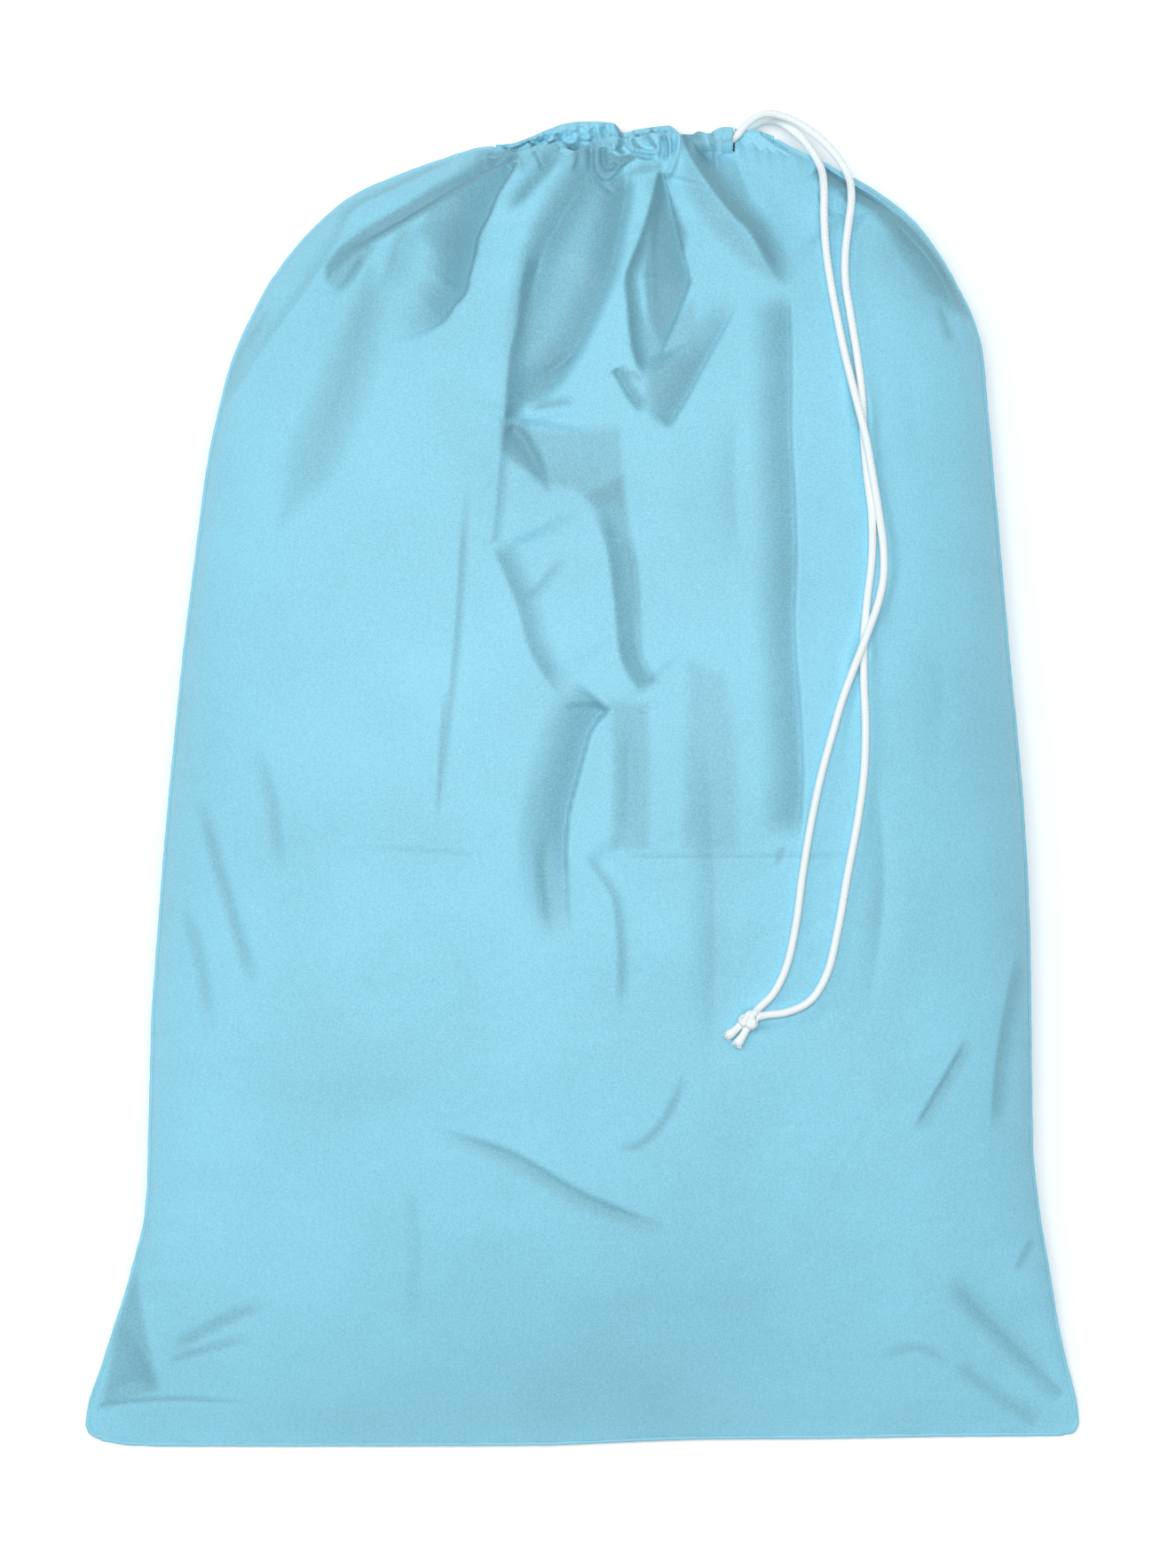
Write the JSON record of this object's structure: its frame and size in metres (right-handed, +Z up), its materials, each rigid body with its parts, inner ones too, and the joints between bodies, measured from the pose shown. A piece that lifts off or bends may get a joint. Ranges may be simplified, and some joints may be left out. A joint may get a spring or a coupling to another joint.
{
  "type": "laundry bag",
  "caption": "Drawstring laundry bag of light coated cloth, lying flat and lightly filled, its neck gathered by a braided cord whose two tails end in a shared overhand knot.",
  "frame": {"origin": "middle of the bag's footprint, on the surface that it lies on, measured without the drawcord", "axes": "+X across the bag towards the side seam where the cord leaves the casing, +Y along the bag from the bottom seam to the mouth, +Z up through the front panel"},
  "size_m": [0.61, 0.8215, 0.12],
  "materials": {
    "cloth": "plain-weave coated cloth with a soft low sheen",
    "seam": "overlocked double-layer cloth edge",
    "thread": "matching sewing thread",
    "cord": "white braided polyester cord"
  },
  "bodies": {
    "bag": {"front_panel": "cloth", "back_panel": "cloth", "side_seam_left": "seam", "side_seam_right": "seam", "bottom_seam": "seam", "casing_front_end": "cloth", "casing_back_end": "cloth", "bartack_front": "thread", "bartack_back": "thread"},
    "drawstring": {"drawcord_run": "cord", "drawcord_tail_left": "cord", "drawcord_tail_right": "cord", "drawcord_knot": "cord", "drawcord_end_left": "cord", "drawcord_end_right": "cord"},
    "gather_left": {"casing_fold": "cloth"},
    "gather_a": {"casing_front_a": "cloth", "casing_back_a": "cloth"},
    "gather_b": {"casing_front_b": "cloth", "casing_back_b": "cloth"},
    "gather_c": {"casing_front_c": "cloth", "casing_back_c": "cloth"}
  },
  "joints": [
    {"name": "drawstring_pull", "type": "slide", "parent": "bag", "child": "drawstring", "axis": [1, 0, 0], "range_m": [0, 0.04]},
    {"name": "gather_left_slide", "type": "slide", "parent": "bag", "child": "gather_left", "axis": [1, 0, 0], "range_m": [0, 0.04]},
    {"name": "gather_a_slide", "type": "slide", "parent": "bag", "child": "gather_a", "axis": [1, 0, 0], "range_m": [0, 0.03]},
    {"name": "gather_b_slide", "type": "slide", "parent": "bag", "child": "gather_b", "axis": [1, 0, 0], "range_m": [0, 0.02]},
    {"name": "gather_c_slide", "type": "slide", "parent": "bag", "child": "gather_c", "axis": [1, 0, 0], "range_m": [0, 0.01]}
  ],
  "couplings": [
    {"joint": "gather_left_slide", "follows": "drawstring_pull", "ratio": 1},
    {"joint": "gather_a_slide", "follows": "drawstring_pull", "ratio": 0.75},
    {"joint": "gather_b_slide", "follows": "drawstring_pull", "ratio": 0.5},
    {"joint": "gather_c_slide", "follows": "drawstring_pull", "ratio": 0.25}
  ]
}
